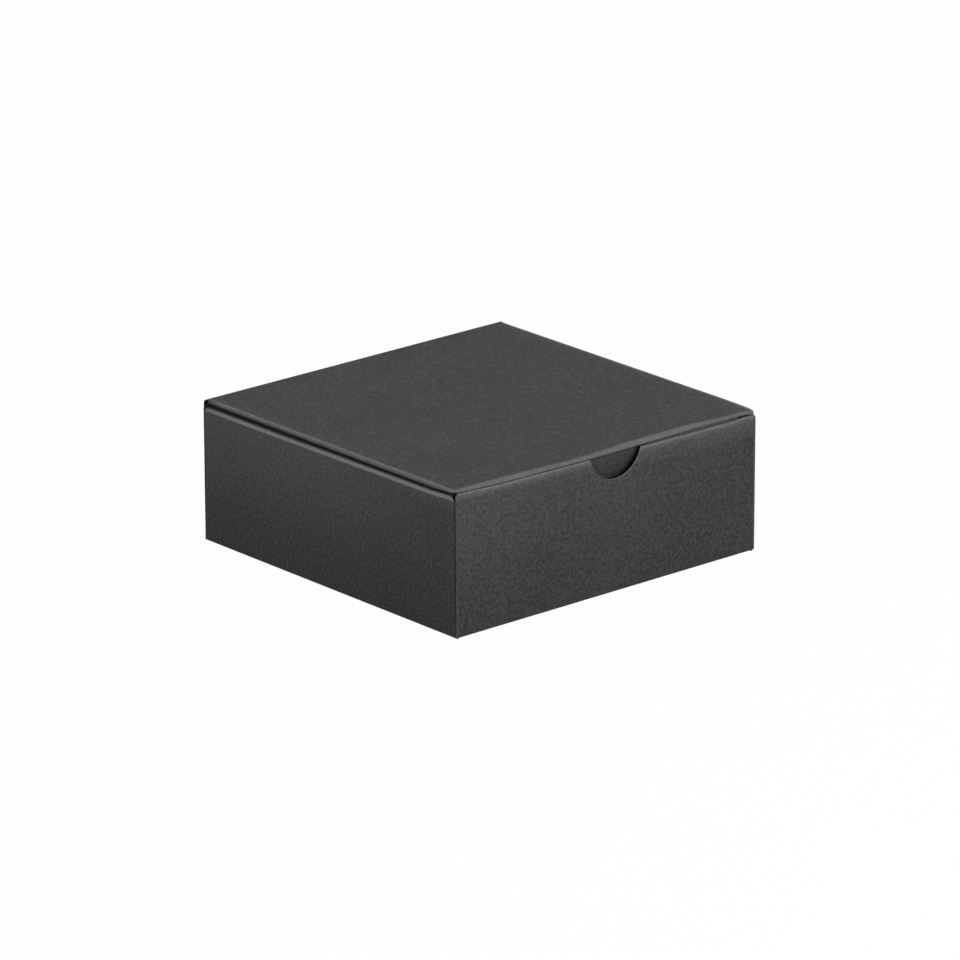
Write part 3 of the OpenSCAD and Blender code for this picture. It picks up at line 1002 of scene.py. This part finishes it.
def make_hinge_fold():
    outer = [(back_high.y, z) for z in spaced(back_high.z, HINGE_Z, HINGE_SPACING)]
    outer += arc((HINGE_Y, HINGE_Z), BOARD, 0, 90, HINGE_STEPS)[1:]
    outer += [(y, lid_high.z) for y in spaced(HINGE_Y, REAR_Y, HINGE_SPACING)[1:]]
    wall_end, lid_start = HINGE_Z - WALL_SETBACK, HINGE_Y - LID_SETBACK
    inner = [(HINGE_Y, z) for z in spaced(back_high.z, wall_end, HINGE_SPACING)]
    inner += [(HINGE_Y - CRUSHED, HINGE_Z - CRUSHED)] * (HINGE_STEPS + 1)
    inner += [(y, HINGE_Z) for y in spaced(lid_start, REAR_Y, HINGE_SPACING)]
    count = min(len(outer), len(inner))
    outer, inner = outer[:count - 1] + outer[-1:], inner[:count - 1] + inner[-1:]
    at_wall = between(back_high.x, lid_high.x, FOLD_WIDTH_SHARE)
    halves = [between(at_wall, lid_high.x, ramp(i, *DRAW_IN_STEPS)) for i in range(count)]
    reach = [(-half, half) for half in halves]
    shape = bent_strip(outer, inner, reach)
    fold = smooth_board("hinge_fold", shape)
    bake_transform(fold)
    # Rubbed paper with a painted highlight along the bend
    paper = kraft("hinge_paper", bands=[band("Y", (72.2, 73.2), strength=0.36)], mottle=0.9)
    edge = cut_edge(
        "hinge_edge", "X", lid_high.x, "Z", lid_high.z, back_high.z, medium_tone=0.2
    )
    finish_piece(fold, None, ["lid_crease"], paper, edge)


make_back_wall()
make_hinge_fold()

# %% [markdown]
# ## Tuck flap
# The flap hangs behind the front wall and leans in a little, so that its tip swings clear
# of the wall. Below its fold it bows further in, and its tip is straight again. Its free
# corners are well rounded and it narrows towards the tip. A short strip joins it to the
# lid's nose.

# %% Tuck flap
FLAP_LENGTH, FLAP_TAPER, FLAP_CORNER_R, FLAP_CORNER_STEPS = 28.5, 4, 12, 12
FLAP_LEAN = math.radians(5.69)
TUCK_IN, FLAP_TOP = 1.6, 1.3
TUCK_Y, TUCK_Z, FLAP_HALF = fold_high.y - TUCK_IN, lid_low.z, flap_high.x
BOW_SLOPE, BOW_STRAIGHTENS = 0.09, (6, 21)
FIRST_BEND, BEND_SPACING = 2, 2
FLAP_EDGE_BACK = 2.8
# The short strip of the fold: its steps, and small overlaps that keep its joints closed
FOLD_STEPS, FOLD_IN, OVERLAP, HAIR = 8, 0.1, 0.35, 0.02
FOLD_TURNS_EARLY, BLEND_BELOW = 1.6, 0.05
# Paler near the fold: crease wear and painted light in the gap under the nose
ROOT_RUB_AND_LIGHT, ROOT_RUB_AND_LIGHT_Z = 0.55, (53.2, 54.2)


def place_flap(x, z, depth):
    """A point of the hanging flap: z is negative downwards, depth goes into the box."""
    y = depth - BOARD
    turned_y = y * math.cos(FLAP_LEAN) - z * math.sin(FLAP_LEAN)
    turned_z = y * math.sin(FLAP_LEAN) + z * math.cos(FLAP_LEAN)
    return x, TUCK_Y + turned_y, TUCK_Z + turned_z


def set_back(z):
    """How far the flap bows in from the wall, below its fold and above its straight tip."""
    below = max(TUCK_Z - z, 0)
    return BOW_SLOPE * below * (1 - ramp(below, *BOW_STRAIGHTENS))


def root_wear_and_light(recipe, parts):
    """Paper that is paler near its fold, but not behind the notch: partly rubbed on the front
    wall's top edge when the flap goes in, and partly painted light that lifts the shaded gap
    under the lid's nose."""
    beside_notch = recipe.fade(abs(parts.out("X") - NOTCH_SHIFT), NOTCH_HALF + 1, NOTCH_HALF + 8)
    return recipe.fade(parts.out("Z"), *ROOT_RUB_AND_LIGHT_Z) * beside_notch * ROOT_RUB_AND_LIGHT


def make_tuck_flap():
    lean = math.degrees(math.atan(FLAP_TAPER / FLAP_LENGTH))
    corner_z = FLAP_CORNER_R - FLAP_LENGTH
    side_x = FLAP_HALF + FLAP_TAPER * corner_z / FLAP_LENGTH
    corner_x = side_x - FLAP_CORNER_R / math.cos(math.radians(lean))
    left = arc((-corner_x, corner_z), FLAP_CORNER_R, 180 + lean, 270, FLAP_CORNER_STEPS)
    right = arc((corner_x, corner_z), FLAP_CORNER_R, -90, -lean, FLAP_CORNER_STEPS)
    outline = [(-FLAP_HALF, -FLAP_TOP)] + left + right + [(FLAP_HALF, -FLAP_TOP)]
    edges = [knife_edge()] * (len(outline) - 1) + [butt(WALL_DEPTHS)]
    bend_z = spaced(TUCK_Z - FIRST_BEND, TUCK_Z - BOW_STRAIGHTENS[1], BEND_SPACING)
    bends = [((0, 0, z), (0, 0, 1)) for z in bend_z]
    flap = die_cut(
        "tuck_flap_board", outline, edges, place_flap, planes=bends,
        warp=lambda x, y, z: (x, y + set_back(z), z),
    )
    # Painted light: the paper paler towards the flap's fold
    pale_bands = [band("Z", (40, 60), strength=0.06)]
    paper = kraft("flap_paper", pale_bands, mottle=0.9, wear_and_light=root_wear_and_light)
    back_y = TUCK_Y + FLAP_EDGE_BACK
    edge = cut_edge("flap_edge", "X", 0, "Y", back_y - BOARD, back_y)
    finish_piece(flap, "flap", ["tuck_flap"], paper, edge)


def make_tuck_fold():
    """The bend between the nose's underside and the flap's top."""
    half = FLAP_HALF - FOLD_IN
    low_z = lid_low.z - FOLD_IN
    outer_start = (TUCK_Y - BOARD - OVERLAP, low_z + HAIR)
    inner_start = (TUCK_Y + FOLD_IN, lid_low.z - HAIR)
    flap_roots = [place_flap(0, -FLAP_TOP - HAIR, depth) for depth in (0, BOARD)]
    outer_end, inner_end = [(y + set_back(z), z) for _, y, z in flap_roots]
    outer, inner = [], []
    for share in spaced(0, 1, 1 / FOLD_STEPS):
        early = smooth_step(share * FOLD_TURNS_EARLY)
        outer.append((
            between(outer_start[0], outer_end[0], early),
            between(outer_start[1], outer_end[1], share),
        ))
        inner.append(tuple(between(a, b, share) for a, b in zip(inner_start, inner_end)))
    reach = [(-half, half)] * len(outer)
    shape = bent_strip(outer, inner, reach)
    fold = smooth_board("tuck_fold", shape)
    outer_end[1] * MM
    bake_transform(fold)
    paper = kraft("tuck_fold_paper", mottle=0.7, wear_and_light=root_wear_and_light)
    finish_piece(fold, None, [], paper)


make_tuck_flap()
make_tuck_fold()

# %% [markdown]
# ## Inner walls, corner tabs and floor
# The inner layers come down to the floor, where two lock tabs each snap into slots. The
# corner tabs are trapped between the two layers of the side walls. They are seen only with
# the lid open or through the seams, so they are drawn from the solids themselves: the
# triangles are merged back into whole faces and every hard edge is eased by a bevel.

# %% Inner panels
FLAT_DEGREES, HARD_DEGREES = 2, 40
PANEL_EASE, FLOOR_EASE, EASE_STEPS = 0.2, 0.15, 3


def add_inner_panel(node, name, paper, ease=PANEL_EASE):
    """A solid's mesh with whole faces and eased edges, as a piece of the box."""
    shape = bmesh.new()
    shape.from_mesh(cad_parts[node].data)
    bmesh.ops.remove_doubles(shape, verts=shape.verts, dist=TINY_M)
    flat = math.radians(FLAT_DEGREES)
    bmesh.ops.dissolve_limit(shape, angle_limit=flat, verts=shape.verts, edges=shape.edges)
    hard = [e for e in shape.edges if e.calc_face_angle(0) > math.radians(HARD_DEGREES)]
    bmesh.ops.bevel(
        shape, geom=hard, offset=ease * MM, segments=EASE_STEPS, profile=0.5,
        affect="EDGES", clamp_overlap=True,
    )
    finish_piece(smooth_board(name, shape), "box", [node], paper)


inner_paper = kraft("inner_paper", mottle=0.8)
tab_paper = kraft("tab_paper", mottle=0.8)
for prefix in ("left", "right"):
    add_inner_panel(prefix + "_inner_wall", prefix + "_inner_board", inner_paper)
    for end in ("front", "back"):
        node = f"{end}_{prefix}_tab"
        add_inner_panel(node, node + "_board", tab_paper)
add_inner_panel("base_panel", "floor_panel_board", kraft("floor_paper"), FLOOR_EASE)

# %% [markdown]
# ## Table, background and light
# The photograph has a plain white ground. A white floor would need so much light that the
# board would wash out, so the ground's white comes from its own material: rays from the
# camera see it mostly as white, and partly as lit paper, which keeps the soft shadow. The
# board is lit by an even surround and four soft lamps: one high on the right, a broad one
# before the front wall, and two weak ones that lift the near corner and the left wall.

# %% Table and world
SURROUND = 0.59
GROUND_WHITE = 0.98
TABLE_DARK, TABLE_PALE = (0.62, 0.62, 0.62, 1), (0.66, 0.66, 0.66, 1)
TABLE_GRAIN_PER_MM = 0.02
TABLE_HALF_M, TABLE_SQUARES, TABLE_GAP_MM = 6, 8, 0.1


def seen_directly(recipe):
    """1 for rays that show the ground itself: from the camera, a mirror or glass."""
    path = recipe.add("ShaderNodeLightPath")
    return recipe.larger(
        path.out("Is Camera Ray"), path.out("Is Glossy Ray"), path.out("Is Transmission Ray")
    )


def make_world():
    world = bpy.data.worlds.new("studio")
    world.use_nodes = True
    bpy.context.scene.world = world
    recipe = Recipe(world.node_tree)
    seen = seen_directly(recipe)
    strength = seen + (1 - seen) * SURROUND
    light = recipe.add("ShaderNodeBackground", sockets={"Color": (1, 1, 1, 1)})
    recipe.tree.links.new(strength.socket, light.socket.node.inputs["Strength"])
    recipe.add("ShaderNodeOutputWorld", sockets={"Surface": light})


def make_table():
    material, recipe = new_recipe("table_paper")
    seen = seen_directly(recipe)
    grain = recipe.noise(recipe.place_mm(), TABLE_GRAIN_PER_MM, detail=1)
    tone = recipe.mix(grain, TABLE_DARK, TABLE_PALE)
    lit = recipe.add("ShaderNodeBsdfDiffuse", sockets={"Color": tone})
    white = recipe.add("ShaderNodeEmission", sockets={"Strength": 1.0})
    shown = recipe.add("ShaderNodeMixShader", sockets={0: GROUND_WHITE, 1: lit, 2: white})
    surface = recipe.add("ShaderNodeMixShader", sockets={0: seen, 1: lit, 2: shown})
    recipe.add("ShaderNodeOutputMaterial", sockets={"Surface": surface})
    shape = bmesh.new()
    bmesh.ops.create_grid(
        shape, x_segments=TABLE_SQUARES, y_segments=TABLE_SQUARES, size=TABLE_HALF_M
    )
    mesh = bpy.data.meshes.new("table")
    shape.to_mesh(mesh)
    shape.free()
    mesh.materials.append(material)
    table = add_object("table", mesh)
    table.location.z = -TABLE_GAP_MM * MM
    print("table", TABLE_GAP_MM, "mm below the box, surround", SURROUND)


make_world()
make_table()

# %% Soft lights
def soft_light(name, azimuth, elevation, distance, width, height, watts):
    """A rectangular lamp that faces the middle of the box."""
    towards = direction(azimuth, elevation)
    data = bpy.data.lights.new(name, "AREA")
    data.shape = "RECTANGLE"
    data.size, data.size_y = width, height
    data.energy = watts
    lamp = add_object(name, data)
    lamp.location = Vector((0, 0, lid_high.z / 2 * MM)) + towards * distance
    lamp.rotation_euler = towards.to_track_quat("Z", "Y").to_euler()
    print(name, watts, "W")


# name, azimuth and elevation in degrees, distance, width and height in metres, watts
soft_light("over_right", 95, 60, 0.8, 0.7, 0.5, 1.6)
soft_light("front_right", 30, 28, 1.3, 0.6, 0.5, 4.2)
soft_light("front_left", -8, 25, 0.6, 0.35, 0.3, 0.7)
soft_light("left_back", -115, 28, 0.7, 0.4, 0.4, 0.35)

# %% [markdown]
# The Standard view shows colours as they are written.

bpy.context.scene.view_settings.view_transform = "Standard"
